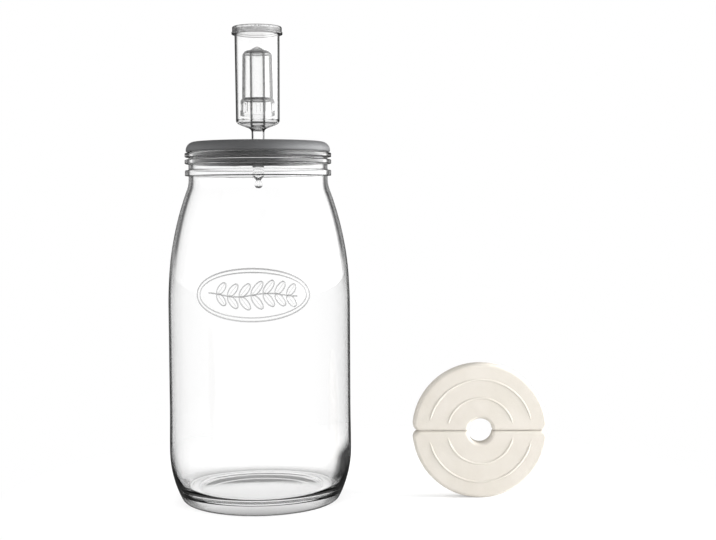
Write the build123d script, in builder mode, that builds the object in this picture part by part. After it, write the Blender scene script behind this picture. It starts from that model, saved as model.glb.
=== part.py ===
from build123d import *
import os
from math import sqrt

# A wide-mouth fermentation jar of about three litres, in millimetres.
# The jar's axis is Z, it stands on Z = 0, and its front faces -Y.
# Seven pieces: the glass jar, a soft lid that plugs its neck, an airlock of three
# clear mouldings whose stem stands in the lid, and two half-disc ceramic weights.

# Glass jar: body and base
body_radius = 68.6
body_wall = 3.2
jar_height = 262.5
heel_height = 38.5
foot_radius = 58.6
foot_fillet = 4.0
standing_ring_radius = 47.0
punt_depth = 3.5
floor_thickness = 5.5
floor_sag = 1.0
inner_foot_radius = 57.0
inner_heel_fillet = 14.0

# Glass jar: shoulder, its lean being how far out its upper control point stands
shoulder_height = 90.5
shoulder_lean = 0.675
shoulder_rise = 0.31

# Glass jar: neck finish, each drop measured down from the rim
neck_radius = 52.0
neck_wall = 2.7
neck_height = 24.6
neck_fillet = 22.0
rim_fillet = 0.6
ridge_count = 2
ridge_drop = 2.4
ridge_pitch = 5.0
ridge_height = 3.6
ridge_depth = 2.8
ridge_fillet = 1.2
bead_drop = 15.8
bead_height = 4.2
bead_depth = 2.7
bead_fillet = 1.3

# Soft lid
flange_radius = 54.0
flange_height = 7.5
flange_top_fillet = 6.5
flange_edge_fillet = 0.8
plug_depth = 9.3
plug_wall = 3.6
plug_clearance = 0.1
plug_fillet = 1.2
rib_count = 2
rib_drop = 2.6
rib_pitch = 4.4
rib_height = 3.0
rib_depth = 0.7
rib_fillet = 0.6
lid_thickness = 4.5
grommet_radius = 9.5
grommet_depth = 13.5
grommet_fillet = 1.5

# Airlock stem and drip tip
stem_radius = 4.85
stem_end_radius = 4.3
stem_reach = 25.5
stem_bore = 3.0
stem_clearance = 0.05
tip_neck_radius = 1.6
tip_ball_radius = 3.2
tip_bore = 0.9
tip_cone_height = 3.5

# Airlock cup and its standing tube
cup_lift = 9.4
cup_floor_rise = 4.4
cup_height = 70.2
cup_top_radius = 16.8
cup_foot_radius = 16.3
cup_wall = 1.3
cup_floor = 1.7
cup_corner = 3.4
cup_inner_corner = 2.0
stem_flare = 3.0
tube_radius = 5.65
tube_wall = 1.35
tube_height = 53.0

# Airlock bell that stands over the tube
bell_radius = 11.1
bell_draft = 0.6
bell_wall = 1.1
bell_shoulder = 4.2
bell_length = 48.6
skirt_height = 13.3
skirt_slope = 1.8
skirt_top_radius = 12.8
skirt_radius = 13.2
skirt_fillet = 0.8
dome_radius = 6.2
dome_height = 3.1
dome_fullness = 2.2
window_count = 8
window_width = 4.4
window_height = 7.4
window_lift = 2.9

# Airlock cap
cap_radius = 18.5
cap_skirt = 4.2
cap_thickness = 1.5
cap_edge_fillet = 0.8
cap_lip_radius = 19.0
cap_lip_height = 1.7
cap_lip_fillet = 0.4
cap_clearance = 0.05
vent_count = 8
vent_radius = 0.6
vent_ring_radius = 12.0

# Ceramic weights, stood on edge beside the jar with their straight sides together
weight_radius = 51.2
weight_thickness = 12.0
weight_notch = 9.3
weight_notch_fillet = 2.0
weight_corner = 5.3
weight_edge_fillet = 2.4
weight_distance = 166.5

# Levels and radii that several pieces share
shoulder_top = jar_height - neck_height
shoulder_foot = shoulder_top - shoulder_height
mouth_radius = neck_radius - neck_wall
inner_radius = body_radius - body_wall
floor_top = punt_depth + floor_thickness
lid_top = jar_height + flange_height
stem_root = lid_top + cup_lift
stem_end = lid_top - stem_reach
cup_foot = stem_root + cup_floor_rise
cup_top = cup_foot + cup_height
tube_top = cup_foot + tube_height
bell_top = tube_top + bell_wall
bell_foot = bell_top - bell_length
skirt_top = bell_foot + skirt_height


def corner(outline, radius, height):
    """The corner of a flat outline that lies nearest to a point."""
    return outline.vertices().sort_by_distance((radius, height, 0))[0]


def shoulder_curve(radius, mouth):
    """The glass from the straight wall up to the corner below the neck."""
    return Bezier(
        (radius, shoulder_foot),
        (radius, shoulder_foot + shoulder_height / 3),
        (mouth + shoulder_lean * (radius - mouth), shoulder_top - shoulder_rise * shoulder_height),
        (mouth, shoulder_top),
    )


def crown_curve(radius, foot):
    """The bell's crown, a cone with slightly full sides."""
    return Bezier((radius, foot), (radius / 2, foot + dome_fullness), (0, foot + dome_height))


def stem_radius_at(height):
    """The stem narrows evenly from its root to its end."""
    share = (height - stem_end) / (stem_root - stem_end)
    return stem_end_radius + share * (stem_radius - stem_end_radius)


# Glass jar, turned from one outline, then hollowed
with BuildPart() as glass_jar:
    with BuildSketch(Plane.XZ) as jar_section:
        with BuildLine():
            TangentArc((0, punt_depth), (standing_ring_radius, 0), tangent=(1, 0))
            Line((standing_ring_radius, 0), (foot_radius, 0))
            TangentArc((body_radius, heel_height), (foot_radius, 0), tangent=(0, -1))
            Line((body_radius, heel_height), (body_radius, shoulder_foot))
            shoulder_curve(body_radius, neck_radius)
            Polyline((neck_radius, shoulder_top), (neck_radius, jar_height), (0, jar_height), (0, punt_depth))
        make_face()
        fillet(corner(jar_section, foot_radius, 0), foot_fillet)
        fillet(corner(jar_section, neck_radius, shoulder_top), neck_fillet)
        fillet(corner(jar_section, neck_radius, jar_height), rim_fillet)
        with Locations((neck_radius, jar_height - bead_drop)):
            RectangleRounded(2 * bead_depth, bead_height, bead_fillet)
        with Locations([(neck_radius, jar_height - ridge_drop - n * ridge_pitch) for n in range(ridge_count)]):
            RectangleRounded(2 * ridge_depth, ridge_height, ridge_fillet)
        with BuildSketch(mode=Mode.PRIVATE) as hollow_section:
            with BuildLine():
                TangentArc((0, floor_top), (inner_foot_radius, floor_top - floor_sag), tangent=(1, 0))
                TangentArc((inner_radius, heel_height), (inner_foot_radius, floor_top - floor_sag), tangent=(0, -1))
                Line((inner_radius, heel_height), (inner_radius, shoulder_foot))
                shoulder_curve(inner_radius, mouth_radius)
                Polyline((mouth_radius, shoulder_top), (mouth_radius, jar_height), (0, jar_height), (0, floor_top))
            make_face()
            fillet(corner(hollow_section, inner_foot_radius, floor_top - floor_sag), inner_heel_fillet)
            fillet(corner(hollow_section, mouth_radius, shoulder_top), neck_fillet)
        add(hollow_section.sketch, mode=Mode.SUBTRACT)
        fillet(corner(jar_section, mouth_radius, jar_height), rim_fillet)
    revolve(axis=Axis.Z)
glass_jar.part.label = "glass_jar"
glass_jar.part.color = Color(0.85, 0.9, 0.92)

# Soft lid: a flange that lies on the rim, a ribbed plug in the neck and a grommet for the stem
plug_radius = mouth_radius - plug_clearance - rib_depth
plug_foot = jar_height - plug_depth
ceiling = lid_top - lid_thickness
grommet_foot = lid_top - grommet_depth
with BuildPart() as lid:
    with BuildSketch(Plane.XZ) as lid_section:
        with BuildLine():
            Polyline(
                (0, lid_top),
                (flange_radius, lid_top),
                (flange_radius, jar_height),
                (plug_radius, jar_height),
                (plug_radius, plug_foot),
                (plug_radius - plug_wall, plug_foot),
                (plug_radius - plug_wall, ceiling),
                (grommet_radius, ceiling),
                (grommet_radius, grommet_foot),
                (0, grommet_foot),
                (0, lid_top),
            )
        make_face()
        fillet(corner(lid_section, flange_radius, lid_top), flange_top_fillet)
        fillet(corner(lid_section, flange_radius, jar_height), flange_edge_fillet)
        fillet(corner(lid_section, plug_radius, plug_foot), plug_fillet)
        fillet(corner(lid_section, plug_radius - plug_wall, plug_foot), plug_fillet)
        fillet(corner(lid_section, plug_radius - plug_wall, ceiling), grommet_fillet)
        fillet(corner(lid_section, grommet_radius, ceiling), grommet_fillet)
        fillet(corner(lid_section, grommet_radius, grommet_foot), grommet_fillet)
        with Locations([(plug_radius, jar_height - rib_drop - n * rib_pitch) for n in range(rib_count)]):
            RectangleRounded(2 * rib_depth, rib_height, rib_fillet)
        with BuildLine():
            Polyline(
                (0, lid_top),
                (stem_radius_at(lid_top) + stem_clearance, lid_top),
                (stem_radius_at(grommet_foot) + stem_clearance, grommet_foot),
                (0, grommet_foot),
                (0, lid_top),
            )
        make_face(mode=Mode.SUBTRACT)
    revolve(axis=Axis.Z)
lid.part.label = "lid"
lid.part.color = Color(0.45, 0.46, 0.48)

# Airlock body: drip tip, stem, cup and standing tube in one moulding
tip_neck = stem_end - tip_cone_height
tip_ball = tip_neck - sqrt(tip_ball_radius**2 - tip_neck_radius**2)
tip_foot = tip_ball - sqrt(tip_ball_radius**2 - tip_bore**2)
tube_bore = tube_radius - tube_wall
floor_slope = cup_floor_rise / (cup_foot_radius - stem_radius)
floor_at_tube = stem_root + cup_floor + floor_slope * (tube_radius - stem_radius)
with BuildPart() as airlock_body:
    with BuildSketch(Plane.XZ) as body_section:
        with BuildLine():
            Line((0, tip_foot), (tip_bore, tip_foot))
            ThreePointArc((tip_bore, tip_foot), (tip_ball_radius, tip_ball), (tip_neck_radius, tip_neck))
            Polyline(
                (tip_neck_radius, tip_neck),
                (stem_end_radius, stem_end),
                (stem_radius, stem_root),
                (cup_foot_radius, cup_foot),
                (cup_top_radius, cup_top),
                (0, cup_top),
                (0, tip_foot),
            )
        make_face()
        fillet(corner(body_section, stem_radius, stem_root), stem_flare)
        fillet(corner(body_section, cup_foot_radius, cup_foot), cup_corner)
        with BuildSketch(mode=Mode.PRIVATE) as water_section:
            with BuildLine():
                Polyline(
                    (tube_radius, floor_at_tube),
                    (cup_foot_radius - cup_wall, cup_foot + cup_floor),
                    (cup_top_radius - cup_wall, cup_top),
                    (0, cup_top),
                    (0, tube_top),
                    (tube_radius, tube_top),
                    (tube_radius, floor_at_tube),
                )
            make_face()
            fillet(corner(water_section, cup_foot_radius - cup_wall, cup_foot + cup_floor), cup_inner_corner)
        add(water_section.sketch, mode=Mode.SUBTRACT)
        with BuildLine():
            Polyline(
                (0, tip_foot),
                (tip_bore, tip_foot),
                (tip_bore, stem_end),
                (stem_bore, stem_end + stem_bore - tip_bore),
                (stem_bore, stem_root),
                (tube_bore, cup_foot),
                (tube_bore, tube_top),
                (0, tube_top),
                (0, tip_foot),
            )
        make_face(mode=Mode.SUBTRACT)
    revolve(axis=Axis.Z)
airlock_body.part.label = "airlock_body"
airlock_body.part.color = Color(0.8, 0.85, 0.9)

# Airlock bell: an inverted cup with a pointed crown and a windowed skirt
with BuildPart() as airlock_bell:
    with BuildSketch(Plane.XZ) as bell_section:
        with BuildLine():
            crown_curve(dome_radius, bell_top)
            Polyline(
                (dome_radius, bell_top),
                (bell_radius, bell_top),
                (bell_radius + bell_draft, skirt_top),
                (skirt_top_radius, skirt_top - skirt_slope),
                (skirt_radius, bell_foot),
                (0, bell_foot),
                (0, bell_top + dome_height),
            )
        make_face()
        fillet(corner(bell_section, bell_radius, bell_top), bell_shoulder)
        fillet(corner(bell_section, skirt_top_radius, skirt_top - skirt_slope), skirt_fillet)
        with BuildSketch(mode=Mode.PRIVATE) as air_section:
            with BuildLine():
                crown_curve(dome_radius - bell_wall, tube_top)
                Polyline(
                    (dome_radius - bell_wall, tube_top),
                    (bell_radius - bell_wall, tube_top),
                    (bell_radius + bell_draft - bell_wall, skirt_top - bell_wall / 2),
                    (skirt_top_radius - bell_wall, skirt_top - skirt_slope - bell_wall / 2),
                    (skirt_radius - bell_wall, bell_foot),
                    (0, bell_foot),
                    (0, tube_top + dome_height),
                )
            make_face()
            fillet(corner(air_section, bell_radius - bell_wall, tube_top), bell_shoulder - bell_wall)
        add(air_section.sketch, mode=Mode.SUBTRACT)
    revolve(axis=Axis.Z)
    with Locations((0, 0, bell_foot + window_lift + window_height / 2)):
        with PolarLocations(skirt_radius - bell_wall, window_count, start_angle=180 / window_count):
            Box(4 * bell_wall, window_width, window_height, mode=Mode.SUBTRACT)
airlock_bell.part.label = "airlock_bell"
airlock_bell.part.color = Color(0.7, 0.8, 0.95)

# Airlock cap: a vented lid that snaps over the cup
cap_top = cup_top + cap_thickness
cap_foot = cup_top - cap_skirt
with BuildPart() as airlock_cap:
    with BuildSketch(Plane.XZ) as cap_section:
        with BuildLine():
            Polyline(
                (0, cap_top),
                (cap_radius, cap_top),
                (cap_radius, cap_foot + cap_lip_height),
                (cap_lip_radius, cap_foot + cap_lip_height),
                (cap_lip_radius, cap_foot),
                (cup_top_radius + cap_clearance, cap_foot),
                (cup_top_radius + cap_clearance, cup_top),
                (0, cup_top),
                (0, cap_top),
            )
        make_face()
        fillet(corner(cap_section, cap_radius, cap_top), cap_edge_fillet)
        fillet(corner(cap_section, cap_lip_radius, cap_foot + cap_lip_height), cap_lip_fillet)
        fillet(corner(cap_section, cap_lip_radius, cap_foot), cap_lip_fillet)
    revolve(axis=Axis.Z)
    with BuildSketch(Plane.XY.offset(cap_top)):
        with PolarLocations(vent_ring_radius, vent_count):
            Circle(vent_radius)
    extrude(amount=-cap_thickness, mode=Mode.SUBTRACT)
airlock_cap.part.label = "airlock_cap"
airlock_cap.part.color = Color(0.75, 0.78, 0.82)

# Ceramic weights: the lower half stands on its rim and carries the upper half
with BuildPart() as weight_lower:
    with BuildSketch(Plane.XZ) as weight_face:
        with Locations((weight_distance, weight_radius)):
            Circle(weight_radius)
        with Locations((weight_distance, 1.5 * weight_radius)):
            Rectangle(2 * weight_radius, weight_radius, mode=Mode.SUBTRACT)
        with Locations((weight_distance, weight_radius)):
            Circle(weight_notch, mode=Mode.SUBTRACT)
        fillet(weight_face.vertices().group_by(Axis.X)[0], weight_corner)
        fillet(weight_face.vertices().group_by(Axis.X)[-1], weight_corner)
        for side in (-1, 1):
            fillet(corner(weight_face, weight_distance + side * weight_notch, weight_radius), weight_notch_fillet)
    extrude(amount=weight_thickness / 2, both=True)
    fillet(weight_lower.faces().filter_by(Axis.Y).edges(), weight_edge_fillet)
weight_lower.part.label = "weight_lower"
weight_lower.part.color = Color(0.9, 0.88, 0.84)

with BuildPart() as weight_upper:
    mirror(weight_lower.part, about=Plane.XY.offset(weight_radius))
weight_upper.part.label = "weight_upper"
weight_upper.part.color = Color(0.92, 0.9, 0.86)

os.makedirs("parts", exist_ok=True)
for piece in (glass_jar, lid, airlock_body, airlock_bell, airlock_cap, weight_lower, weight_upper):
    export_step(piece.part, f"parts/{piece.part.label}.step")
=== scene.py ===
"""Looks of the fermentation jar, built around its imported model.

Lengths are in millimetres until a mesh is made, unless a name or comment says otherwise.
"""
import math

import bmesh
import bpy
import numpy as np
from mathutils import Matrix, Vector


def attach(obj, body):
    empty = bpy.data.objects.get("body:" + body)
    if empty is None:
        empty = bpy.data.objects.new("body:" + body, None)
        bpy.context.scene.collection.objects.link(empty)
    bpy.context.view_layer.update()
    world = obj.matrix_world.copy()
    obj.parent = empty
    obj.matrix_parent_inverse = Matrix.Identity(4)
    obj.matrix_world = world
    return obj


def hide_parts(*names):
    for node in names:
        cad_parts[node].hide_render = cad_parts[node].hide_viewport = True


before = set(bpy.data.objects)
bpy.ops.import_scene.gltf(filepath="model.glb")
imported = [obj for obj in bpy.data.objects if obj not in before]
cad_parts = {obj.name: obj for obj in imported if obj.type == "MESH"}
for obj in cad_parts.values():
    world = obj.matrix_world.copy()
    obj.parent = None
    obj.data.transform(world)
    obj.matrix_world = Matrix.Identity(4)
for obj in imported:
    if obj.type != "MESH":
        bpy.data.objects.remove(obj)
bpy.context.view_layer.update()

MM = 0.001
SCENE = bpy.context.scene

# Camera, fitted to the photograph's outlines: its place in metres, its angles in degrees
PHOTO_WIDTH = 716
FOCAL_PIXELS = 1241.6
SENSOR = 36.0
CAMERA_PLACE = (0.07452, -0.93617, 0.22897)
CAMERA_PITCH = 3.4
CAMERA_ROLL = 0.3
CLIP_NEAR, CLIP_FAR = 0.01, 100.0

# How finely rounded corners are found and drawn: a search step, and an arc's longest angle and step
SEARCH_STEP, SEARCH_PARTS = 0.02, 120
ARC_DEGREES, ARC_STEP = 9, 0.8

# Glass jar
BODY_R, BODY_WALL, JAR_TOP = 68.6, 3.2, 262.5
HEEL_Z, FOOT_R, FOOT_FILLET = 38.5, 58.6, 4.0
RING_R, PUNT, FLOOR, FLOOR_SAG = 47.0, 3.5, 5.5, 1.0
RING_FILLET = 1.2
INNER_FOOT_R, INNER_HEEL_FILLET = 57.0, 14.0
SHOULDER_H, SHOULDER_LEAN, SHOULDER_RISE = 90.5, 0.675, 0.31
NECK_R, NECK_WALL, NECK_H, NECK_FILLET = 52.0, 2.7, 24.6, 22.0
RIM_FILLET = 0.6
THREAD_TOP, THREAD_PITCH, THREAD_H, THREAD_DEPTH, THREAD_FLANK = 2.4, 5.0, 3.8, 2.8, 0.8
# In turns: the thread's start and end, the length it fades over there, and its ramp's start and length
THREAD_START, THREAD_END, THREAD_FADE = 0.03, 1.97, 0.05
RAMP_START, RAMP_SPAN = 0.92, 0.16
# Bare neck between the bead and where the thread may stand out
THREAD_GAP = 0.5
BEAD_DROP, BEAD_H, BEAD_DEPTH, BEAD_FILLET = 15.8, 4.2, 2.7, 0.6
BEAD_LOW_ROOT, BEAD_HIGH_ROOT = 0.5, 0.8
BODY_WAIST, WAIST_TOP, WAIST_BLEND = 0.35, 40, 30
JAR_COLUMNS = 136

# Relief on the jar's front
RELIEF_Z, RELIEF_A, RELIEF_B, RELIEF_HEIGHT = 160.0, 43.0, 18.5, 0.33
RELIEF_CUTS, RELIEF_MARGIN = 5, 3
# The oval's two lines, each by how far it stands in from the outline and half its width
OVAL_LINES = [(0.0, 0.9), (2.6, 0.7)]
SPRIG_REACH, SPRIG_WAVE, SPRIG_BEND, SPRIG_HALF = 33.0, 1.2, 7.0, 0.8
# LEAF_PAIRS counts the pairs of leaves on each side of the middle one, and LEAF_LEAN is in degrees
LEAF_PAIRS, LEAF_PITCH, LEAF_LENGTH, LEAF_WIDTH, LEAF_LEAN = 3, 8.5, 12.0, 5.0, 52
LEAF_TAPER, LEAF_HALF, VEIN_SHARE, VEIN_HALF = 0.06, 0.75, 0.6, 0.5

# Height at the middle of the painted shade on the heel's right side, and how fast it fades above and below
SHADED_SIDE_Z, SHADED_SIDE_SLOPE = 30.0, -1.6

# Below this height the lid is painted darker: painted shade on its plug inside the neck
PLUG_Z, PLUG_BLEND = 262.0, 2.0

# Ceramic weights
WEIGHT_R, WEIGHT_THICK, WEIGHT_X = 51.2, 12.0, 166.5
RING_RADII, RING_HALF, RING_HEIGHT = (39.0, 25.0), 0.8, 0.4
RING_START, RING_END, RING_STEPS = math.radians(12), math.radians(168), 90
RING_TIP, RING_TAPER = 0.2, 6

# Light: what rays through glass and off gloss see, by the sine of their elevation
FILL = 1.08
THROUGH_SKY = [(0.0, 1.0), (0.35, 1.0), (0.75, 0.35)]
THROUGH_GAIN = 1.08
MIRROR_SKY = [(0.0, 0.35), (0.3, 0.35), (0.7, 0.12)]
MIRROR_FLOOR = 0.06
# Soft boxes that only gloss sees, from the left (0) to the right (1), and their strength
MIRROR_SIDES = [(0.0, 0.2), (0.12, 0.1), (0.22, 0.015), (0.76, 0.015), (0.88, 0.6), (0.95, 1.0)]
MIRROR_GAIN = 16.0

# Share of the painted shade on rounded edges and slopes, by how level the surface lies
EDGE_BAND = [(0.35, 0.0), (0.48, 1.0), (0.62, 1.0), (0.75, 0.0)]

# How level a face lies where its level tint starts and where it holds
LEVEL_START, LEVEL_FULL = 0.75, 0.97

# Floor, in metres: it gives off its own white by the distance from its middle
FLOOR_MIDDLE, FLOOR_R, FLOOR_GREY = (0.08, 0, 0), 12.0, 0.87
FLOOR_FADE = [(0.13, 0.35), (0.28, 1.0)]

# Lamps' highlights, and how often a ray may turn
LAMP_SPECULAR = 0.3
BOUNCES = 32

# Airlock
LID_TOP = 270.0
STEM_R, STEM_END_R, STEM_REACH, STEM_BORE = 4.85, 4.3, 25.5, 3.0
TIP_NECK_R, TIP_BALL_R, TIP_BORE, TIP_CONE = 1.6, 3.2, 0.9, 3.5
BALL_POINTS = 22
CUP_LIFT, CUP_RISE, CUP_H = 9.4, 4.4, 70.2
CUP_TOP_R, CUP_FOOT_R, CUP_WALL, CUP_FLOOR = 16.8, 16.3, 1.3, 1.0
CUP_CORNER, CUP_INNER_CORNER, STEM_FLARE = 3.4, 2.0, 3.0
TUBE_R, TUBE_WALL, TUBE_H = 5.65, 1.35, 53.0
TUBE_ROOT, TUBE_FUNNEL = 1.0, 2.0
BELL_R, BELL_DRAFT, BELL_WALL, BELL_SHOULDER, BELL_LENGTH = 11.1, 0.6, 1.1, 4.2, 48.6
SKIRT_H, SKIRT_SLOPE, SKIRT_TOP_R, SKIRT_R = 13.3, 1.8, 12.8, 13.2
SKIRT_FILLET, SKIRT_INNER_FILLET = 0.8, 0.5
DOME_R, DOME_H, DOME_FULLNESS = 6.2, 3.1, 2.2
WINDOWS, WINDOW_W, WINDOW_H, WINDOW_LIFT, WINDOW_CORNER = 8, 4.4, 7.4, 2.9, 0.8
CAP_R, CAP_SKIRT, CAP_THICK, CAP_EDGE = 18.5, 4.2, 1.5, 0.8
CAP_LIP_R, CAP_LIP_H, CAP_LIP_FILLET, CAP_CLEARANCE = 19.0, 1.7, 0.4, 0.05
VENTS, VENT_R, VENT_RING_R = 8, 0.6, 12.0
# Rounding of the airlock's small edges, of its crown and shoulder, and of its stem and tip
EDGE, CROWN_EDGE, STEM_EDGE, TIP_EDGE = 0.3, 0.4, 0.6, 0.5
CUP_COLUMNS, BELL_COLUMNS, CAP_COLUMNS = 96, 128, 128
CUT_SHARP_DEGREES = 40

# Values that follow from the ones above
SHOULDER_TOP = JAR_TOP - NECK_H
SHOULDER_FOOT = SHOULDER_TOP - SHOULDER_H
MOUTH_R = NECK_R - NECK_WALL
INNER_R = BODY_R - BODY_WALL
FLOOR_Z = PUNT + FLOOR
STEM_ROOT = LID_TOP + CUP_LIFT
STEM_END = LID_TOP - STEM_REACH
CUP_FOOT = STEM_ROOT + CUP_RISE
CUP_TOP = CUP_FOOT + CUP_H
TUBE_TOP = CUP_FOOT + TUBE_H
TUBE_BORE = TUBE_R - TUBE_WALL
BELL_TOP = TUBE_TOP + BELL_WALL
BELL_FOOT = BELL_TOP - BELL_LENGTH
SKIRT_TOP = BELL_FOOT + SKIRT_H


# Outlines: each is an array of (radius, height), joined with rounded corners

def line(*points, step=0.6):
    """Straight runs through the points, with a point every step."""
    out = [np.array(points[0], float)]
    for a, b in zip(points[:-1], points[1:]):
        a, b = np.array(a, float), np.array(b, float)
        n = max(1, int(math.dist(a, b) / step))
        out += [a + (b - a) * k / n for k in range(1, n + 1)]
    return np.array(out)


def bezier(*control, count=56):
    """A Bezier curve through its control polygon."""
    t = np.linspace(0, 1, count)[:, None]
    n = len(control) - 1
    curve = 0
    for k, point in enumerate(control):
        share = math.comb(n, k) * (1 - t) ** (n - k) * t**k
        curve = curve + share * np.array(point, float)
    return curve


def tangent_arc(start, end, tangent, step=0.8):
    """The arc from start to end that sets out along tangent."""
    start, end = np.array(start, float), np.array(end, float)
    tangent = np.array(tangent, float) / np.hypot(*tangent)
    normal = np.array([-tangent[1], tangent[0]])
    chord = end - start
    radius = chord @ chord / (2 * (chord @ normal))
    centre = start + normal * radius
    a0 = math.atan2(*(start - centre)[::-1])
    sweep = 2 * math.atan2(chord @ normal, chord @ tangent)
    n = max(4, int(abs(radius * sweep) / step))
    a = a0 + sweep * np.linspace(0, 1, n + 1)
    return centre + abs(radius) * np.stack([np.cos(a), np.sin(a)], 1)


def rounded(before, after, radius):
    """Two runs that meet, with an arc of that radius between them."""
    fine = [before[-1]]
    length = 0.0
    for a, b in zip(before[:-1][::-1], before[1:][::-1]):
        n = max(1, int(math.dist(a, b) / SEARCH_STEP))
        fine += [b + (a - b) * k / n for k in range(1, n + 1)]
        length += math.dist(a, b)
        if length > 3 * radius:
            break
    fine = np.array(fine)
    along = -np.gradient(fine, axis=0)
    along /= np.hypot(along[:, 0], along[:, 1])[:, None]
    leave = after[1] - after[0]
    side = np.sign(along[0][0] * leave[1] - along[0][1] * leave[0])
    centres = fine + radius * side * np.stack([-along[:, 1], along[:, 0]], 1)
    starts, runs = after[:-1], np.diff(after, axis=0)

    def nearest(c):
        t = np.clip(((c - starts) * runs).sum(1) / (runs * runs).sum(1), 0, 1)
        feet = starts + runs * t[:, None]
        gaps = np.hypot(*(feet - c).T)
        k = gaps.argmin()
        return gaps[k], k, feet[k]

    stride = max(1, len(fine) // SEARCH_PARTS)
    high = stride
    while high < len(fine) - 1 and nearest(centres[high])[0] < radius:
        high = min(high + stride, len(fine) - 1)
    low = max(0, high - stride)
    while high - low > 1:
        middle = (low + high) // 2
        if nearest(centres[middle])[0] < radius:
            low = middle
        else:
            high = middle
    centre = centres[high]
    _, k, foot = nearest(centre)
    touch = fine[high]
    kept = len(before) - 1
    used = math.dist(fine[0], fine[high])
    while kept > 0 and math.dist(before[kept], fine[0]) < used + 1e-6:
        kept -= 1
    a0 = math.atan2(*(touch - centre)[::-1])
    a1 = math.atan2(*(foot - centre)[::-1])
    sweep = (a1 - a0 + math.pi) % (2 * math.pi) - math.pi
    n = max(3, int(abs(sweep) / math.radians(ARC_DEGREES)), int(abs(sweep * radius) / ARC_STEP))
    a = a0 + sweep * np.linspace(0, 1, n + 1)
    arc = centre + radius * np.stack([np.cos(a), np.sin(a)], 1)
    return np.concatenate([before[: kept + 1], arc]), np.concatenate([[foot], after[k + 1:]])


def outline(*runs):
    """Runs joined end to end. A number between two runs is the radius of the corner there."""
    path = runs[0]
    radius = 0.0
    for item in runs[1:]:
        if isinstance(item, (int, float)):
            radius = item
            continue
        if radius:
            path, item = rounded(path, item, radius)
        path = np.concatenate([path, item])
        radius = 0.0
    keep = [0]
    for k in range(1, len(path)):
        if math.dist(path[k], path[keep[-1]]) > 0.01:
            keep.append(k)
    return path[keep]


# Meshes

def piece(name, mesh, body, nodes, slot, *materials):
    """Make a finished object that rides on a body and stands for its CAD nodes."""
    obj = bpy.data.objects.new(name, mesh)
    SCENE.collection.objects.link(obj)
    for material in materials:
        mesh.materials.append(material)
    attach(obj, body)
    if nodes:
        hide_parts(*nodes)


def turned(name, path, columns, closed=False, shape=None, inside_from=None):
    """A solid of revolution about Z. shape(radius, height, angle, row) may move a point out or in.

    Rows from inside_from on take the second material.
    """
    bm = bmesh.new()
    rings = []
    for row, (r, z) in enumerate(path):
        if r < 1e-6:
            rings.append([bm.verts.new((0, 0, z * MM))])
            continue
        ring = []
        for k in range(columns):
            a = 2 * math.pi * k / columns
            s = shape(r, z, a, row) if shape else r
            ring.append(bm.verts.new((s * math.cos(a) * MM, s * math.sin(a) * MM, z * MM)))
        rings.append(ring)
    pairs = list(zip(rings[:-1], rings[1:]))
    if closed:
        pairs.append((rings[-1], rings[0]))
    for row, (a, b) in enumerate(pairs):
        for k in range(columns):
            n = (k + 1) % columns
            corners = [a[k % len(a)], a[n % len(a)], b[n % len(b)], b[k % len(b)]]
            if len(a) == 1:
                corners = [a[0], b[n], b[k]]
            if len(b) == 1:
                corners = [a[k], a[n], b[0]]
            face = bm.faces.new(corners)
            if inside_from is not None and row >= inside_from:
                face.material_index = 1
    bmesh.ops.recalc_face_normals(bm, faces=bm.faces)
    mesh = bpy.data.meshes.new(name)
    bm.to_mesh(mesh)
    bm.free()
    mesh.shade_smooth()
    return mesh


def cut(mesh, cutters):
    """The mesh with closed cutter meshes taken out of it."""
    body = bpy.data.objects.new("cut_body", mesh)
    SCENE.collection.objects.link(body)
    tools = []
    for k, cutter in enumerate(cutters):
        tool = bpy.data.objects.new(f"cut_tool_{k}", cutter)
        SCENE.collection.objects.link(tool)
        modifier = body.modifiers.new(f"cut_{k}", "BOOLEAN")
        modifier.operation = "DIFFERENCE"
        modifier.solver = "EXACT"
        modifier.object = tool
        tools.append(tool)
    graph = bpy.context.evaluated_depsgraph_get()
    out = bpy.data.meshes.new_from_object(body.evaluated_get(graph))
    out.name = mesh.name
    for obj in [body] + tools:
        old = obj.data
        bpy.data.objects.remove(obj)
        bpy.data.meshes.remove(old)
    out.set_sharp_from_angle(angle=math.radians(CUT_SHARP_DEGREES))
    return out


def shoulder(radius, mouth):
    """The curve from the straight wall to the corner under the neck."""
    drop = radius - mouth
    return bezier(
        (radius, SHOULDER_FOOT),
        (radius, SHOULDER_FOOT + SHOULDER_H / 3),
        (mouth + SHOULDER_LEAN * drop, SHOULDER_TOP - SHOULDER_RISE * SHOULDER_H),
        (mouth, SHOULDER_TOP),
    )


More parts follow.
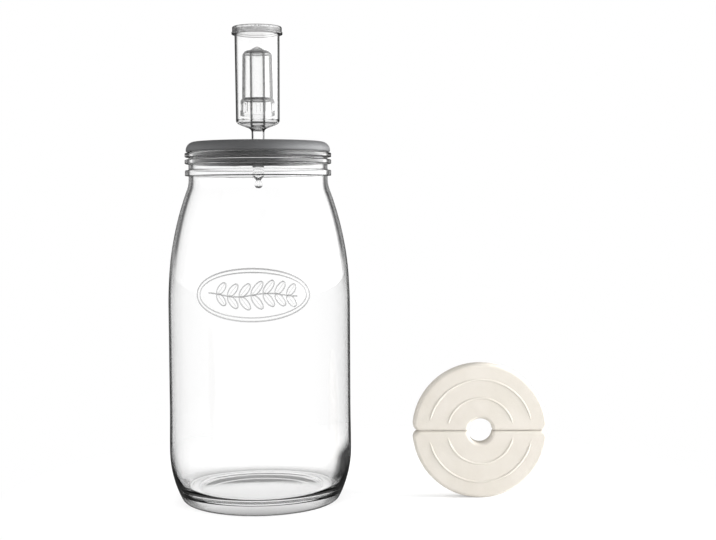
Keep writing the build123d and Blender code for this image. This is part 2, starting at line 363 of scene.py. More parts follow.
def jar_mesh():
    """The jar: base, heel, wall, shoulder, neck with bead and thread, rim, and back down inside."""
    bead_low = JAR_TOP - BEAD_DROP - BEAD_H / 2
    bead_high = JAR_TOP - BEAD_DROP + BEAD_H / 2
    bead_r = NECK_R + BEAD_DEPTH
    path = outline(
        tangent_arc((0, PUNT), (RING_R, 0), (1, 0)),
        RING_FILLET,
        line((RING_R, 0), (FOOT_R, 0)),
        FOOT_FILLET,
        tangent_arc((BODY_R, HEEL_Z), (FOOT_R, 0), (0, -1))[::-1],
        line((BODY_R, HEEL_Z), (BODY_R, SHOULDER_FOOT), step=3.0),
        shoulder(BODY_R, NECK_R),
        NECK_FILLET,
        line((NECK_R, SHOULDER_TOP), (NECK_R, bead_low)),
        BEAD_LOW_ROOT,
        line((NECK_R, bead_low), (bead_r, bead_low), step=0.3),
        BEAD_FILLET,
        line((bead_r, bead_low), (bead_r, bead_high), step=0.3),
        BEAD_FILLET,
        line((bead_r, bead_high), (NECK_R, bead_high), step=0.3),
        BEAD_HIGH_ROOT,
        line((NECK_R, bead_high), (NECK_R, JAR_TOP), step=0.25),
        RIM_FILLET,
        line((NECK_R, JAR_TOP), (MOUTH_R, JAR_TOP), step=0.4),
        RIM_FILLET,
        line((MOUTH_R, JAR_TOP), (MOUTH_R, SHOULDER_TOP), step=2.4),
        NECK_FILLET,
        shoulder(INNER_R, MOUTH_R)[::-1],
        line((INNER_R, SHOULDER_FOOT), (INNER_R, HEEL_Z), step=8.0),
        tangent_arc((INNER_R, HEEL_Z), (INNER_FOOT_R, FLOOR_Z - FLOOR_SAG), (0, -1)),
        INNER_HEEL_FILLET,
        tangent_arc((0, FLOOR_Z), (INNER_FOOT_R, FLOOR_Z - FLOOR_SAG), (1, 0), step=2.0)[::-1],
    )
    rim_row = int(np.argmax(path[:, 1]))

    def shape(r, z, a, row):
        if row > rim_row:
            return r
        if z > bead_high + THREAD_GAP and r > MOUTH_R + NECK_WALL / 2:
            return r + THREAD_DEPTH * thread_share(z, a)
        return r - BODY_WAIST * waist_share(z)

    mesh = turned("glass_jar_clear", path, JAR_COLUMNS, shape=shape, inside_from=rim_row)
    raise_relief(mesh)
    return mesh


def waist_share(z):
    """How far the wall stands back between heel and shoulder, so that the relief stays within its line."""
    rise = (z - HEEL_Z) / WAIST_BLEND
    fall = (SHOULDER_FOOT + WAIST_TOP - z) / WAIST_BLEND
    share = max(0.0, min(1.0, rise, fall))
    return 3 * share**2 - 2 * share**3


def raise_relief(mesh):
    """Divide the wall's front finely and raise the relief on it."""
    bm = bmesh.new()
    bm.from_mesh(mesh)
    reach_u = RELIEF_A + RELIEF_MARGIN
    reach_z = RELIEF_B + RELIEF_MARGIN

    def on_front(co):
        around = (math.atan2(co.y, co.x) + math.pi / 2) * BODY_R
        outside = math.hypot(co.x, co.y) > (wall_radius(co.z / MM) - BODY_WALL / 2) * MM
        return outside and abs(around) < reach_u and abs(co.z / MM - RELIEF_Z) < reach_z

    faces = [f for f in bm.faces if on_front(f.calc_center_median())]
    edges = list({e for f in faces for e in f.edges})
    bmesh.ops.subdivide_edges(bm, edges=edges, cuts=RELIEF_CUTS, use_grid_fill=True)
    mark = bm.verts.layers.float.new("relief")
    for v in bm.verts:
        u = (math.atan2(v.co.y, v.co.x) + math.pi / 2) * BODY_R
        z = v.co.z / MM
        flat = math.hypot(v.co.x, v.co.y)
        if abs(u) > reach_u + RELIEF_MARGIN or abs(z - RELIEF_Z) > reach_z + RELIEF_MARGIN:
            continue
        if flat < (wall_radius(z) - BODY_WALL / 2) * MM:
            continue
        wall = wall_radius(z) - BODY_WAIST * waist_share(z)
        v[mark] = relief_share(u, z - RELIEF_Z)
        scale = (wall + RELIEF_HEIGHT * v[mark]) * MM / flat
        v.co.x *= scale
        v.co.y *= scale
    bm.to_mesh(mesh)
    bm.free()
    mesh.shade_smooth()


def wall_radius(z):
    """The outline's radius at a height of the wall or the lower shoulder."""
    if z <= SHOULDER_FOOT:
        return BODY_R
    curve = shoulder(BODY_R, NECK_R)
    return float(np.interp(z, curve[:, 1], curve[:, 0]))


def ellipse_line(u, w, a, b, half):
    """1 on an ellipse's line, falling to 0 at half a line's width from it."""
    f = math.hypot(u / a, w / b)
    if f < 1e-6:
        return 0.0
    off = abs(f - 1) * f / math.hypot(u / a**2, w / b**2)
    share = max(0.0, 1 - off / half)
    return share * share * (3 - 2 * share)


def relief_share(u, w):
    """How far the relief stands out at a place on the front: two oval lines round a leafy sprig."""
    best = 0.0
    for inset, half in OVAL_LINES:
        best = max(best, ellipse_line(u, w, RELIEF_A - inset, RELIEF_B - inset, half))
    if abs(u) < SPRIG_REACH:
        off = abs(w - SPRIG_WAVE * math.sin(u / SPRIG_BEND))
        share = max(0.0, 1 - off / SPRIG_HALF)
        best = max(best, share * share * (3 - 2 * share))
    for k in range(-LEAF_PAIRS, LEAF_PAIRS + 1):
        for side in (-1, 1):
            root = k * LEAF_PITCH
            lean = math.radians(LEAF_LEAN) * side
            length = LEAF_LENGTH * (1 - LEAF_TAPER * abs(k))
            du = u - root - length / 2 * math.cos(lean)
            dw = w - SPRIG_WAVE * math.sin(root / SPRIG_BEND) - length / 2 * math.sin(lean)
            along = du * math.cos(lean) + dw * math.sin(lean)
            across = -du * math.sin(lean) + dw * math.cos(lean)
            if abs(along) > length or abs(across) > LEAF_WIDTH:
                continue
            best = max(best, ellipse_line(along, across, length / 2, LEAF_WIDTH / 2, LEAF_HALF))
            if abs(along) < length / 2:
                best = max(best, VEIN_SHARE * max(0.0, 1 - abs(across) / VEIN_HALF))
    return best


def thread_share(z, angle):
    """How far the thread stands out at a point: two level turns, joined by a ramp at the back."""
    turn = (angle / (2 * math.pi) - 0.25) % 1.0
    best = 0.0
    for level in (-1, 0, 1):
        along = turn + level
        if not THREAD_START < along < THREAD_END:
            continue
        step = min(1.0, max(0.0, (along - RAMP_START) / RAMP_SPAN))
        centre = JAR_TOP - THREAD_TOP - THREAD_PITCH * (3 * step**2 - 2 * step**3)
        rise = min(1.0, max(0.0, (THREAD_H / 2 - abs(z - centre)) / THREAD_FLANK))
        fade = min(1.0, (along - THREAD_START) / THREAD_FADE, (THREAD_END - along) / THREAD_FADE)
        best = max(best, math.sqrt(max(0.0, 1 - (1 - rise) ** 2)) * fade)
    return best


def airlock_body_mesh():
    """Drip tip, stem, cup and standing tube, as one closed loop."""
    tip_neck = STEM_END - TIP_CONE
    ball = tip_neck - math.sqrt(TIP_BALL_R**2 - TIP_NECK_R**2)
    foot = ball - math.sqrt(TIP_BALL_R**2 - TIP_BORE**2)
    start = math.atan2(foot - ball, TIP_BORE)
    end = math.atan2(tip_neck - ball, TIP_NECK_R)
    angles = np.linspace(start, end, BALL_POINTS)
    ball_run = np.stack([TIP_BALL_R * np.cos(angles), ball + TIP_BALL_R * np.sin(angles)], 1)
    slope = CUP_RISE / (CUP_FOOT_R - STEM_R)
    floor_at_tube = STEM_ROOT + CUP_FLOOR + slope * (TUBE_R - STEM_R)
    inner_foot = (CUP_FOOT_R - CUP_WALL, CUP_FOOT + CUP_FLOOR)
    bore_end = (STEM_BORE, STEM_END + STEM_BORE - TIP_BORE)
    path = outline(
        ball_run,
        TIP_EDGE,
        line((TIP_NECK_R, tip_neck), (STEM_END_R, STEM_END)),
        STEM_EDGE,
        line((STEM_END_R, STEM_END), (STEM_R, STEM_ROOT)),
        STEM_FLARE,
        line((STEM_R, STEM_ROOT), (CUP_FOOT_R, CUP_FOOT)),
        CUP_CORNER,
        line((CUP_FOOT_R, CUP_FOOT), (CUP_TOP_R, CUP_TOP), step=1.5),
        EDGE,
        line((CUP_TOP_R, CUP_TOP), (CUP_TOP_R - CUP_WALL, CUP_TOP)),
        EDGE,
        line((CUP_TOP_R - CUP_WALL, CUP_TOP), inner_foot, step=1.5),
        CUP_INNER_CORNER,
        line(inner_foot, (TUBE_R, floor_at_tube)),
        TUBE_ROOT,
        line((TUBE_R, floor_at_tube), (TUBE_R, TUBE_TOP), step=1.5),
        EDGE,
        line((TUBE_R, TUBE_TOP), (TUBE_BORE, TUBE_TOP)),
        EDGE,
        line((TUBE_BORE, TUBE_TOP), (TUBE_BORE, CUP_FOOT), step=1.5),
        TUBE_FUNNEL,
        line((TUBE_BORE, CUP_FOOT), (STEM_BORE, STEM_ROOT)),
        TUBE_FUNNEL,
        line((STEM_BORE, STEM_ROOT), bore_end),
        STEM_EDGE,
        line(bore_end, (TIP_BORE, STEM_END)),
        TIP_EDGE,
        line((TIP_BORE, STEM_END), (TIP_BORE, foot)),
    )
    return turned("airlock_body_clear", path[:-1], CUP_COLUMNS, closed=True)


def bell_mesh():
    """The inverted cup with its pointed crown and windowed skirt."""
    skirt_z = SKIRT_TOP - SKIRT_SLOPE
    inner_top = SKIRT_TOP - BELL_WALL / 2
    inner_low = skirt_z - BELL_WALL / 2
    wall_r = BELL_R + BELL_DRAFT
    inner_dome = DOME_R - BELL_WALL
    path = outline(
        bezier(
            (0, BELL_TOP + DOME_H),
            (DOME_R / 2, BELL_TOP + DOME_FULLNESS),
            (DOME_R, BELL_TOP),
            count=14,
        ),
        CROWN_EDGE,
        line((DOME_R, BELL_TOP), (BELL_R, BELL_TOP), step=0.2),
        BELL_SHOULDER,
        line((BELL_R, BELL_TOP), (wall_r, SKIRT_TOP), step=1.5),
        CROWN_EDGE,
        line((wall_r, SKIRT_TOP), (SKIRT_TOP_R, skirt_z), step=0.3),
        SKIRT_FILLET,
        line((SKIRT_TOP_R, skirt_z), (SKIRT_R, BELL_FOOT)),
        EDGE,
        line((SKIRT_R, BELL_FOOT), (SKIRT_R - BELL_WALL, BELL_FOOT), step=0.3),
        EDGE,
        line((SKIRT_R - BELL_WALL, BELL_FOOT), (SKIRT_TOP_R - BELL_WALL, inner_low)),
        SKIRT_INNER_FILLET,
        line((SKIRT_TOP_R - BELL_WALL, inner_low), (wall_r - BELL_WALL, inner_top), step=0.3),
        CROWN_EDGE,
        line((wall_r - BELL_WALL, inner_top), (BELL_R - BELL_WALL, TUBE_TOP), step=1.5),
        BELL_SHOULDER - BELL_WALL,
        line((BELL_R - BELL_WALL, TUBE_TOP), (inner_dome, TUBE_TOP), step=0.2),
        CROWN_EDGE,
        bezier(
            (inner_dome, TUBE_TOP),
            (inner_dome / 2, TUBE_TOP + DOME_FULLNESS),
            (0, TUBE_TOP + DOME_H),
            count=14,
        ),
    )
    mesh = turned("airlock_bell_clear", path, BELL_COLUMNS)
    cutters = []
    for k in range(WINDOWS):
        angle = 2 * math.pi * (k + 0.5) / WINDOWS
        cutters.append(window_cutter(angle))
    return cut(mesh, cutters)


def window_cutter(angle):
    """A rounded block through the skirt."""
    bm = bmesh.new()
    bmesh.ops.create_cube(bm, size=1.0)
    bmesh.ops.scale(bm, vec=(4 * BELL_WALL * MM, WINDOW_W * MM, WINDOW_H * MM), verts=bm.verts)
    radial = [e for e in bm.edges if abs((e.verts[0].co - e.verts[1].co).x) > BELL_WALL * MM]
    bmesh.ops.bevel(bm, geom=radial, offset=WINDOW_CORNER * MM, segments=4, affect="EDGES", profile=0.5)
    out = (SKIRT_R - BELL_WALL) * MM
    up = (BELL_FOOT + WINDOW_LIFT + WINDOW_H / 2) * MM
    place = Matrix.Rotation(angle, 4, "Z") @ Matrix.Translation((out, 0, up))
    bmesh.ops.transform(bm, matrix=place, verts=bm.verts)
    mesh = bpy.data.meshes.new("window_cutter")
    bm.to_mesh(mesh)
    bm.free()
    return mesh


def cap_mesh():
    """The cap with its lip and vent holes."""
    top = CUP_TOP + CAP_THICK
    foot = CUP_TOP - CAP_SKIRT
    inner = CUP_TOP_R + CAP_CLEARANCE
    path = outline(
        line((0, top), (CAP_R, top), step=1.0),
        CAP_EDGE,
        line((CAP_R, top), (CAP_R, foot + CAP_LIP_H), step=0.4),
        EDGE,
        line((CAP_R, foot + CAP_LIP_H), (CAP_LIP_R, foot + CAP_LIP_H), step=0.15),
        CAP_LIP_FILLET / 2,
        line((CAP_LIP_R, foot + CAP_LIP_H), (CAP_LIP_R, foot), step=0.3),
        CAP_LIP_FILLET,
        line((CAP_LIP_R, foot), (inner, foot), step=0.3),
        EDGE,
        line((inner, foot), (inner, CUP_TOP), step=0.4),
        EDGE,
        line((inner, CUP_TOP), (0, CUP_TOP), step=1.0),
    )
    mesh = turned("airlock_cap_clear", path, CAP_COLUMNS)
    cutters = []
    for k in range(VENTS):
        bm = bmesh.new()
        radius = VENT_R * MM
        bmesh.ops.create_cone(
            bm, cap_ends=True, segments=20, radius1=radius, radius2=radius, depth=3 * CAP_THICK * MM)
        angle = 2 * math.pi * k / VENTS
        away = VENT_RING_R * MM
        place = (away * math.cos(angle), away * math.sin(angle), (top - CAP_THICK / 2) * MM)
        bmesh.ops.translate(bm, vec=place, verts=bm.verts)
        cutter = bpy.data.meshes.new("vent_cutter")
        bm.to_mesh(cutter)
        bm.free()
        cutters.append(cutter)
    return cut(mesh, cutters)


def ring_mesh(name, side):
    """Raised half rings on both faces of a weight. side is 1 for the upper half and -1 for the lower."""
    bm = bmesh.new()
    section = [(math.cos(t), math.sin(t)) for t in np.linspace(0, math.pi, 9)]
    section += [(-1, -0.5), (1, -0.5)]
    for face in (-1, 1):
        for radius in RING_RADII:
            rows = []
            for t in np.linspace(RING_START, RING_END, RING_STEPS):
                end = min(1.0, RING_TIP + RING_TAPER * min(t - RING_START, RING_END - t))
                row = []
                for across, out in section:
                    r = radius + RING_HALF * across * end
                    y = face * (WEIGHT_THICK / 2 + RING_HEIGHT * out * end)
                    place = (WEIGHT_X + r * math.cos(t), y, WEIGHT_R + side * r * math.sin(t))
                    row.append(bm.verts.new([c * MM for c in place]))
                rows.append(row)
            for a, b in zip(rows[:-1], rows[1:]):
                for k in range(len(section)):
                    n = (k + 1) % len(section)
                    bm.faces.new((a[k], a[n], b[n], b[k]))
            bm.faces.new(rows[0])
            bm.faces.new(rows[-1][::-1])
    bmesh.ops.recalc_face_normals(bm, faces=bm.faces)
    mesh = bpy.data.meshes.new(name)
    bm.to_mesh(mesh)
    bm.free()
    mesh.shade_smooth()
    return mesh


# Materials

LID_GREYS = [(0.3, (0.070, 0.071, 0.073)), (0.7, (0.083, 0.084, 0.086))]
# Painted shade of the lid's plug inside the neck
PLUG_SHADE = (0.026, 0.026, 0.027, 1)
CERAMIC_TONES = [(0.3, (0.51, 0.478, 0.425)), (0.7, (0.545, 0.513, 0.465))]
CLEAR_IOR = 1.5

# Size and depth of the clear surfaces' unevenness, in metres
JAR_WAVE = (0.03, 0.00012)
AIRLOCK_WAVE = (0.012, 0.00002)
CAP_WAVE = (0.012, 0.00004)

# Painted shade of the clear materials, from square on (0) to edge on (1): in place of the dark surroundings
# that glass bends into view, and a little for its longer path through the wall. The jar's change with the
# height.
WALL_STOPS = [(0.0, 0.995), (0.4, 0.97), (0.62, 0.89), (0.73, 0.72), (0.79, 0.03), (0.85, 0.005), (0.9, 0.1),
              (1.0, 0.35)]
SHOULDER_STOPS = [(0.0, 0.99), (0.4, 0.96), (0.54, 0.87), (0.61, 0.62), (0.65, 0.06), (0.69, 0.0),
                  (0.73, 0.03), (0.79, 0.2), (1.0, 0.3)]
HEEL_STOPS = [(0.0, 0.985), (0.4, 0.95), (0.55, 0.85), (0.66, 0.5), (0.72, 0.05), (0.78, 0.1), (0.84, 0.004),
              (1.0, 0.01)]
LOW_HEEL_STOPS = [(0.0, 0.985), (0.4, 0.95), (0.5, 0.82), (0.57, 0.2), (0.62, 0.01), (0.7, 0.0),
                  (0.78, 0.15), (0.84, 0.0), (1.0, 0.0)]
SHADED_SIDE_STOPS = [(0.0, 0.985), (0.3, 0.95), (0.43, 0.7), (0.5, 0.1), (0.57, 0.005), (1.0, 0.005)]
FOOT_STOPS = [(0.0, 0.98), (0.3, 0.92), (0.5, 0.5), (0.6, 0.02), (1.0, 0.0)]
INSIDE_STOPS = [(0.0, 0.995), (0.5, 0.95), (0.8, 0.8), (1.0, 0.5)]
CUP_STOPS = [(0.0, 0.99), (0.35, 0.95), (0.46, 0.86), (0.53, 0.5), (0.58, 0.02), (0.7, 0.0), (1.0, 0.0)]
TUBE_STOPS = [(0.0, 0.99), (0.18, 0.92), (0.27, 0.7), (0.33, 0.1), (0.38, 0.0), (1.0, 0.0)]
GENTLE_STOPS = [(0.0, 0.99), (0.5, 0.95), (0.8, 0.85), (1.0, 0.6)]
BELL_STOPS = [(0.0, 0.985), (0.35, 0.95), (0.46, 0.72), (0.53, 0.05), (0.6, 0.0), (1.0, 0.0)]
CAP_STOPS = [(0.0, 0.92), (0.15, 0.84), (0.35, 0.5), (0.5, 0.1), (0.6, 0.02), (1.0, 0.0)]


def new_material(name):
    """An empty node material and its output."""
    mat = bpy.data.materials.new(name)
    mat.use_nodes = True
    mat.node_tree.nodes.clear()
    out = mat.node_tree.nodes.new("ShaderNodeOutputMaterial")
    return mat, mat.node_tree, out


def node(tree, kind, values=(), **settings):
    """A shader node with its settings and its input values."""
    n = tree.nodes.new(kind)
    for key, value in settings.items():
        setattr(n, key, value)
    for key, value in dict(values).items():
        n.inputs[key].default_value = value
    return n


def ramp(tree, factor, stops):
    """A colour ramp fed by factor, with stops of (place, grey or colour)."""
    n = tree.nodes.new("ShaderNodeValToRGB")
    while len(n.color_ramp.elements) < len(stops):
        n.color_ramp.elements.new(0.5)
    for element, (place, value) in zip(n.color_ramp.elements, stops):
        element.position = place
        element.color = (value, value, value, 1) if isinstance(value, float) else (*value, 1)
    tree.links.new(factor, n.inputs["Fac"])
    return n.outputs["Color"]


# Used for the painted shade on edges and raised lines, and for the flat grey of level faces
def tinted(tree, colour, share, tint):
    """The colour, changed to a grey tint by share."""
    blend = node(tree, "ShaderNodeMix", data_type="RGBA")
    blend.inputs["B"].default_value = (tint, tint, tint, 1)
    tree.links.new(share, blend.inputs["Factor"])
    tree.links.new(colour, blend.inputs["A"])
    return blend.outputs["Result"]


def clear_material(name, stops, wave, rough, zones=(), level_tint=None, relief_shade=None, edge_shade=None):
    """Clear glass or plastic: it darkens where it is seen edge on, and lets lamps through.

    stops are (facing, painted shade) pairs, and wave is the size and depth, in metres, of the surface's
    unevenness.
    Each zone is (measure, where it starts, where it holds, its own stops). Its measure is the height Z,
    the distance R from the axis or the nearness S to the painted shade on the heel's right side.
    level_tint is the flat grey of faces that lie level, however they are seen, in place of the painted edge
    shade;
    edge_shade is the painted shade of the rounded edges and slopes between upright and level, and
    relief_shade that of raised lines.
    """
    mat, tree, out = new_material(name)
    links = tree.links
    shader = node(tree, "ShaderNodeBsdfPrincipled",
                  {"Roughness": rough, "IOR": CLEAR_IOR, "Transmission Weight": 1.0})
    facing = node(tree, "ShaderNodeLayerWeight", {"Blend": 0.5})
    place = node(tree, "ShaderNodeTexCoord")
    # Painted shade: the colour darkens by how edge on the surface is seen
    colour = ramp(tree, facing.outputs["Facing"], stops)
    split = node(tree, "ShaderNodeSeparateXYZ")
    links.new(place.outputs["Object"], split.inputs[0])
    flat = node(tree, "ShaderNodeVectorMath", {1: (1, 1, 0)}, operation="MULTIPLY")
    links.new(place.outputs["Object"], flat.inputs[0])
    radius = node(tree, "ShaderNodeVectorMath", operation="LENGTH")
    links.new(flat.outputs[0], radius.inputs[0])
    # Painted shade: S rises towards a darker streak on the heel's right side and falls away above and below
    # it
    lift = node(tree, "ShaderNodeMath", {1: SHADED_SIDE_Z * MM}, operation="SUBTRACT")
    links.new(split.outputs["Z"], lift.inputs[0])
    away = node(tree, "ShaderNodeMath", operation="ABSOLUTE")
    links.new(lift.outputs[0], away.inputs[0])
    side = node(tree, "ShaderNodeMath", {1: SHADED_SIDE_SLOPE}, operation="MULTIPLY_ADD")
    links.new(away.outputs[0], side.inputs[0])
    links.new(split.outputs["X"], side.inputs[2])
    measures = {"Z": split.outputs["Z"], "R": radius.outputs["Value"], "S": side.outputs[0]}
    for measure, start, full, own in zones:
        other = ramp(tree, facing.outputs["Facing"], own)
        share = node(tree, "ShaderNodeMapRange", {"From Min": start * MM, "From Max": full * MM},
                     interpolation_type="SMOOTHSTEP")
        links.new(measures[measure], share.inputs["Value"])
        blend = node(tree, "ShaderNodeMix", data_type="RGBA")
        links.new(share.outputs["Result"], blend.inputs["Factor"])
        links.new(colour, blend.inputs["A"])
        links.new(other, blend.inputs["B"])
        colour = blend.outputs["Result"]
    turn = node(tree, "ShaderNodeNewGeometry")
    upright = node(tree, "ShaderNodeSeparateXYZ")
    links.new(turn.outputs["Normal"], upright.inputs[0])
    level = node(tree, "ShaderNodeMath", operation="ABSOLUTE")
    links.new(upright.outputs["Z"], level.inputs[0])
    # Painted shade on the rounded edges and slopes
    if edge_shade:
        colour = tinted(tree, colour, ramp(tree, level.outputs[0], EDGE_BAND), edge_shade)
    if level_tint:
        share = node(tree, "ShaderNodeMapRange", {"From Min": LEVEL_START, "From Max": LEVEL_FULL},
                     interpolation_type="SMOOTHSTEP")
        links.new(level.outputs[0], share.inputs["Value"])
        colour = tinted(tree, colour, share.outputs["Result"], level_tint)
    # Painted shade on the relief's raised lines
    if relief_shade:
        mark = node(tree, "ShaderNodeAttribute", attribute_name="relief")
        colour = tinted(tree, colour, mark.outputs["Fac"], relief_shade)
    links.new(colour, shader.inputs["Base Color"])
    wave_size, wave_depth = wave
    swell = node(tree, "ShaderNodeTexNoise", {"Scale": 1 / wave_size, "Detail": 2.0, "Roughness": 0.45})
    links.new(place.outputs["Object"], swell.inputs["Vector"])
    bump = node(tree, "ShaderNodeBump", {"Strength": 1.0, "Distance": wave_depth})
    links.new(swell.outputs["Fac"], bump.inputs["Height"])
    links.new(bump.outputs["Normal"], shader.inputs["Normal"])
    through = node(tree, "ShaderNodeBsdfTransparent", {"Color": (0.99, 0.99, 0.99, 1)})
    path = node(tree, "ShaderNodeLightPath")
    mix = node(tree, "ShaderNodeMixShader")
    links.new(path.outputs["Is Shadow Ray"], mix.inputs["Fac"])
    links.new(shader.outputs[0], mix.inputs[1])
    links.new(through.outputs[0], mix.inputs[2])
    links.new(mix.outputs[0], out.inputs["Surface"])
    return mat


def silicone_material():
    """Satin grey silicone with a fine grain and a faint bloom of dust."""
    mat, tree, out = new_material("grey_silicone")
    links = tree.links
    place = node(tree, "ShaderNodeTexCoord")
    cloud = node(tree, "ShaderNodeTexNoise", {"Scale": 45.0, "Detail": 5.0})
    grain = node(tree, "ShaderNodeTexNoise", {"Scale": 2600.0, "Detail": 2.0})
    links.new(place.outputs["Object"], cloud.inputs["Vector"])
    links.new(place.outputs["Object"], grain.inputs["Vector"])
    colour = ramp(tree, cloud.outputs["Fac"], LID_GREYS)
    height = node(tree, "ShaderNodeSeparateXYZ")
    links.new(place.outputs["Object"], height.inputs[0])
    # Painted shade: the plug inside the neck is painted darker than the rest of the lid
    plug = node(tree, "ShaderNodeMapRange", {"From Min": PLUG_Z * MM, "From Max": (PLUG_Z - PLUG_BLEND) * MM})
    links.new(height.outputs["Z"], plug.inputs["Value"])
    plug_shaded = node(tree, "ShaderNodeMix", data_type="RGBA")
    plug_shaded.inputs["B"].default_value = PLUG_SHADE
    links.new(plug.outputs["Result"], plug_shaded.inputs["Factor"])
    links.new(colour, plug_shaded.inputs["A"])
    shader = node(tree, "ShaderNodeBsdfPrincipled",
                  {"Roughness": 0.42, "IOR": 1.43, "Sheen Weight": 0.05, "Sheen Roughness": 0.4})
    links.new(plug_shaded.outputs["Result"], shader.inputs["Base Color"])
    bump = node(tree, "ShaderNodeBump", {"Strength": 0.35, "Distance": 0.00004})
    links.new(grain.outputs["Fac"], bump.inputs["Height"])
    links.new(bump.outputs["Normal"], shader.inputs["Normal"])
    links.new(shader.outputs[0], out.inputs["Surface"])
    return mat


def ceramic_material():
    """Matte off-white ceramic: faint mottling, fine pores and a slightly uneven face."""
    mat, tree, out = new_material("white_ceramic")
    links = tree.links
    place = node(tree, "ShaderNodeTexCoord")
    cloud = node(tree, "ShaderNodeTexNoise", {"Scale": 60.0, "Detail": 6.0, "Roughness": 0.6})
    pores = node(tree, "ShaderNodeTexVoronoi", {"Scale": 900.0})
    swell = node(tree, "ShaderNodeTexNoise", {"Scale": 140.0, "Detail": 3.0})
    for texture in (cloud, pores, swell):
        links.new(place.outputs["Object"], texture.inputs["Vector"])
    colour = ramp(tree, cloud.outputs["Fac"], CERAMIC_TONES)
    shader = node(tree, "ShaderNodeBsdfPrincipled", {"Roughness": 0.6, "IOR": 1.5})
    links.new(colour, shader.inputs["Base Color"])
    wide = node(tree, "ShaderNodeBump", {"Strength": 0.5, "Distance": 0.0003})
    fine = node(tree, "ShaderNodeBump", {"Strength": 0.3, "Distance": 0.00006})
    links.new(swell.outputs["Fac"], wide.inputs["Height"])
    links.new(pores.outputs["Distance"], fine.inputs["Height"])
    links.new(wide.outputs["Normal"], fine.inputs["Normal"])
    links.new(fine.outputs["Normal"], shader.inputs["Normal"])
    links.new(shader.outputs[0], out.inputs["Surface"])
    return mat


# Camera, floor and light

def make_camera():
    """The photograph's viewpoint."""
    data = bpy.data.cameras.new("camera")
    data.sensor_width = SENSOR
    data.lens = FOCAL_PIXELS * SENSOR / PHOTO_WIDTH
    data.clip_start = CLIP_NEAR
    data.clip_end = CLIP_FAR
    camera = bpy.data.objects.new("camera", data)
    SCENE.collection.objects.link(camera)
    pitch = Matrix.Rotation(math.radians(90 - CAMERA_PITCH), 4, "X")
    roll = Matrix.Rotation(math.radians(-CAMERA_ROLL), 4, "Z")
    camera.matrix_world = Matrix.Translation(CAMERA_PLACE) @ pitch @ roll
    SCENE.camera = camera


def seen_white(tree):
    """The ray's kinds, and 1 where it comes straight from the camera, a mirror or glass."""
    path = node(tree, "ShaderNodeLightPath")
    a = node(tree, "ShaderNodeMath", operation="MAXIMUM")
    b = node(tree, "ShaderNodeMath", operation="MAXIMUM")
    tree.links.new(path.outputs["Is Camera Ray"], a.inputs[0])
    tree.links.new(path.outputs["Is Glossy Ray"], a.inputs[1])
    tree.links.new(a.outputs[0], b.inputs[0])
    tree.links.new(path.outputs["Is Transmission Ray"], b.inputs[1])
    return path, b.outputs[0]


def through_gain(tree, path):
    """A little more than white behind glass, to make up for what its surfaces mirror away."""
    gain = node(tree, "ShaderNodeMapRange", {"To Min": 1.0, "To Max": THROUGH_GAIN})
    tree.links.new(path.outputs["Is Transmission Ray"], gain.inputs["Value"])
    return gain.outputs["Result"]


def make_floor():
    """A wide pale floor that keeps shadows near the object and turns plain white farther out."""
    mat, tree, out = new_material("floor_white")
    links = tree.links
    place = node(tree, "ShaderNodeTexCoord")
    centred = node(tree, "ShaderNodeVectorMath", {1: FLOOR_MIDDLE}, operation="SUBTRACT")
    length = node(tree, "ShaderNodeVectorMath", operation="LENGTH")
    links.new(place.outputs["Object"], centred.inputs[0])
    links.new(centred.outputs[0], length.inputs[0])
    far = ramp(tree, length.outputs["Value"], FLOOR_FADE)
    lit = node(tree, "ShaderNodeBsdfDiffuse", {"Color": (FLOOR_GREY, FLOOR_GREY, FLOOR_GREY, 1)})
    path, seen = seen_white(tree)
    reflected = node(tree, "ShaderNodeMath", operation="SUBTRACT", use_clamp=True)
    links.new(path.outputs["Is Glossy Ray"], reflected.inputs[0])
    links.new(path.outputs["Is Transmission Ray"], reflected.inputs[1])
    shade = ramp(tree, reflected.outputs[0], [(0.0, 1.0), (1.0, MIRROR_FLOOR)])
    glow = node(tree, "ShaderNodeEmission")
    links.new(shade, glow.inputs["Color"])
    links.new(through_gain(tree, path), glow.inputs["Strength"])
    both = node(tree, "ShaderNodeMath", operation="MULTIPLY")
    links.new(far, both.inputs[0])
    links.new(seen, both.inputs[1])
    either = node(tree, "ShaderNodeMath", operation="MAXIMUM")
    links.new(both.outputs[0], either.inputs[0])
    links.new(reflected.outputs[0], either.inputs[1])
    mix = node(tree, "ShaderNodeMixShader")
    links.new(either.outputs[0], mix.inputs["Fac"])
    links.new(lit.outputs[0], mix.inputs[1])
    links.new(glow.outputs[0], mix.inputs[2])
    links.new(mix.outputs[0], out.inputs["Surface"])
    bm = bmesh.new()
    bmesh.ops.create_circle(bm, cap_ends=True, segments=96, radius=FLOOR_R)
    mesh = bpy.data.meshes.new("floor")
    bm.to_mesh(mesh)
    bm.free()
    mesh.materials.append(mat)
    floor = bpy.data.objects.new("floor", mesh)
    SCENE.collection.objects.link(floor)


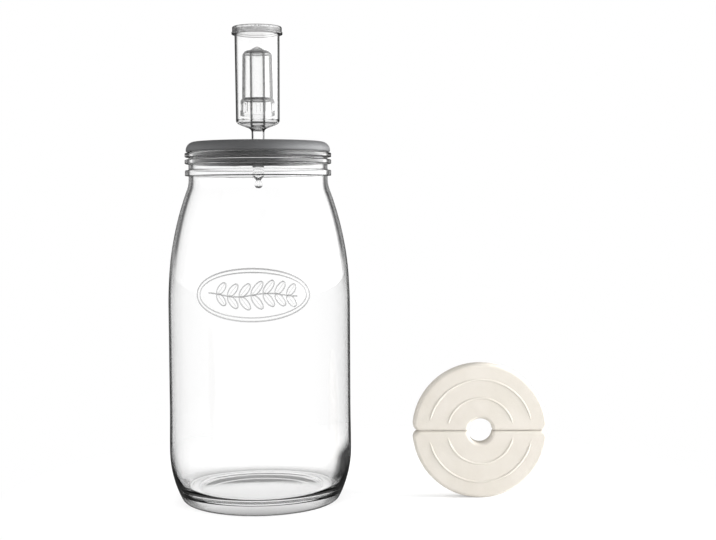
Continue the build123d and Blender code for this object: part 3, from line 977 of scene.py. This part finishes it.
def make_world():
    """White to the eye. What glass and gloss see is greyer overhead, and gloss sees two soft boxes."""
    world = bpy.data.worlds.new("studio")
    SCENE.world = world
    world.use_nodes = True
    tree = world.node_tree
    tree.nodes.clear()
    links = tree.links
    out = node(tree, "ShaderNodeOutputWorld")
    place = node(tree, "ShaderNodeTexCoord")
    split = node(tree, "ShaderNodeSeparateXYZ")
    links.new(place.outputs["Generated"], split.inputs[0])
    path = node(tree, "ShaderNodeLightPath")
    through = ramp(tree, split.outputs["Z"], THROUGH_SKY)
    mirrored = ramp(tree, split.outputs["Z"], MIRROR_SKY)
    across = node(tree, "ShaderNodeMapRange", {"From Min": -1.0, "From Max": 1.0})
    links.new(split.outputs["X"], across.inputs["Value"])
    boxes = ramp(tree, across.outputs["Result"], MIRROR_SIDES)
    side_gain = node(tree, "ShaderNodeVectorMath", {1: (MIRROR_GAIN,) * 3}, operation="MULTIPLY")
    links.new(boxes, side_gain.inputs[0])
    lit_sides = node(tree, "ShaderNodeVectorMath", operation="MULTIPLY")
    links.new(mirrored, lit_sides.inputs[0])
    links.new(side_gain.outputs[0], lit_sides.inputs[1])
    gloss = node(tree, "ShaderNodeMix", data_type="RGBA")
    gloss.inputs["A"].default_value = (1, 1, 1, 1)
    links.new(path.outputs["Is Glossy Ray"], gloss.inputs["Factor"])
    links.new(lit_sides.outputs[0], gloss.inputs["B"])
    colour = node(tree, "ShaderNodeMix", data_type="RGBA")
    links.new(path.outputs["Is Transmission Ray"], colour.inputs["Factor"])
    links.new(gloss.outputs["Result"], colour.inputs["A"])
    links.new(through, colour.inputs["B"])
    sky = node(tree, "ShaderNodeBackground")
    links.new(colour.outputs["Result"], sky.inputs["Color"])
    links.new(through_gain(tree, path), sky.inputs["Strength"])
    fill = node(tree, "ShaderNodeBackground", {"Color": (1, 1, 1, 1), "Strength": FILL})
    _, seen = seen_white(tree)
    mix = node(tree, "ShaderNodeMixShader")
    links.new(seen, mix.inputs["Fac"])
    links.new(fill.outputs[0], mix.inputs[1])
    links.new(sky.outputs[0], mix.inputs[2])
    links.new(mix.outputs[0], out.inputs["Surface"])


def make_lamp(name, place, target, size, power):
    """A soft flat lamp that points at a place."""
    data = bpy.data.lights.new(name, "AREA")
    data.shape = "RECTANGLE"
    data.size, data.size_y = size
    data.energy = power
    data.specular_factor = LAMP_SPECULAR
    lamp = bpy.data.objects.new(name, data)
    SCENE.collection.objects.link(lamp)
    lamp.visible_glossy = False
    lamp.visible_transmission = False
    aim = (Vector(target) - Vector(place)).to_track_quat("-Z", "Y")
    lamp.matrix_world = Matrix.Translation(place) @ aim.to_matrix().to_4x4()


make_camera()
make_world()
make_floor()
make_lamp("key_lamp", place=(1.7, -0.12, 0.27), target=(0.05, 0, 0.24), size=(0.8, 0.3), power=90)
make_lamp("side_lamp", place=(-1.7, -0.3, 0.4), target=(0.05, 0, 0.2), size=(0.8, 0.6), power=12)

glass = clear_material(
    "jar_glass", WALL_STOPS, JAR_WAVE, rough=0.0,
    # Zones of painted edge shade: shoulder, heel, low heel, a darker streak on the heel's right side, and
    # foot
    zones=[
        ("Z", 150, 195, SHOULDER_STOPS),
        ("Z", 58, 30, HEEL_STOPS),
        ("Z", 22, 10, LOW_HEEL_STOPS),
        # A darker streak of painted shade on the heel's right side
        ("S", 28, 48, SHADED_SIDE_STOPS),
        ("Z", 5, 1.5, FOOT_STOPS),
    ],
    level_tint=0.97, relief_shade=0.1, edge_shade=0.25,
)
inner_glass = clear_material("jar_glass_inside", INSIDE_STOPS, JAR_WAVE, rough=0.0, level_tint=0.99)
plastic = clear_material(
    "airlock_plastic", CUP_STOPS, AIRLOCK_WAVE, rough=0.02,
    zones=[
        ("R", 16.0, 15.7, GENTLE_STOPS),
        ("R", 12.0, 8.0, TUBE_STOPS),
        ("R", 4.45, 4.32, GENTLE_STOPS),
    ],
    level_tint=0.85,
)
bell_plastic = clear_material(
    "bell_plastic", BELL_STOPS, AIRLOCK_WAVE, rough=0.02, level_tint=0.9, edge_shade=0.08)
cap_plastic = clear_material("cap_plastic", CAP_STOPS, CAP_WAVE, rough=0.05, edge_shade=0.02)
silicone = silicone_material()
ceramic = ceramic_material()

piece("jar_glass_wall", jar_mesh(), "jar", ["glass_jar"], "clear_glass", glass, inner_glass)
piece("lower_weight_rings", ring_mesh("lower_rings", -1), "lower_weight", [], "white_ceramic", ceramic)
piece("upper_weight_rings", ring_mesh("upper_rings", 1), "upper_weight", [], "white_ceramic", ceramic)
piece("airlock_body_wall", airlock_body_mesh(), "airlock", ["airlock_body"], "clear_plastic", plastic)
piece("airlock_bell_wall", bell_mesh(), "bell", ["airlock_bell"], "clear_plastic", bell_plastic)
piece("airlock_cap_wall", cap_mesh(), "cap", ["airlock_cap"], "clear_plastic", cap_plastic)

for name, material in (("lid", silicone), ("weight_lower", ceramic), ("weight_upper", ceramic)):
    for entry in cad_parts[name].material_slots:
        entry.material = material

SCENE.view_settings.view_transform = "Standard"
SCENE.cycles.max_bounces = BOUNCES
SCENE.cycles.transmission_bounces = BOUNCES
SCENE.cycles.transparent_max_bounces = BOUNCES
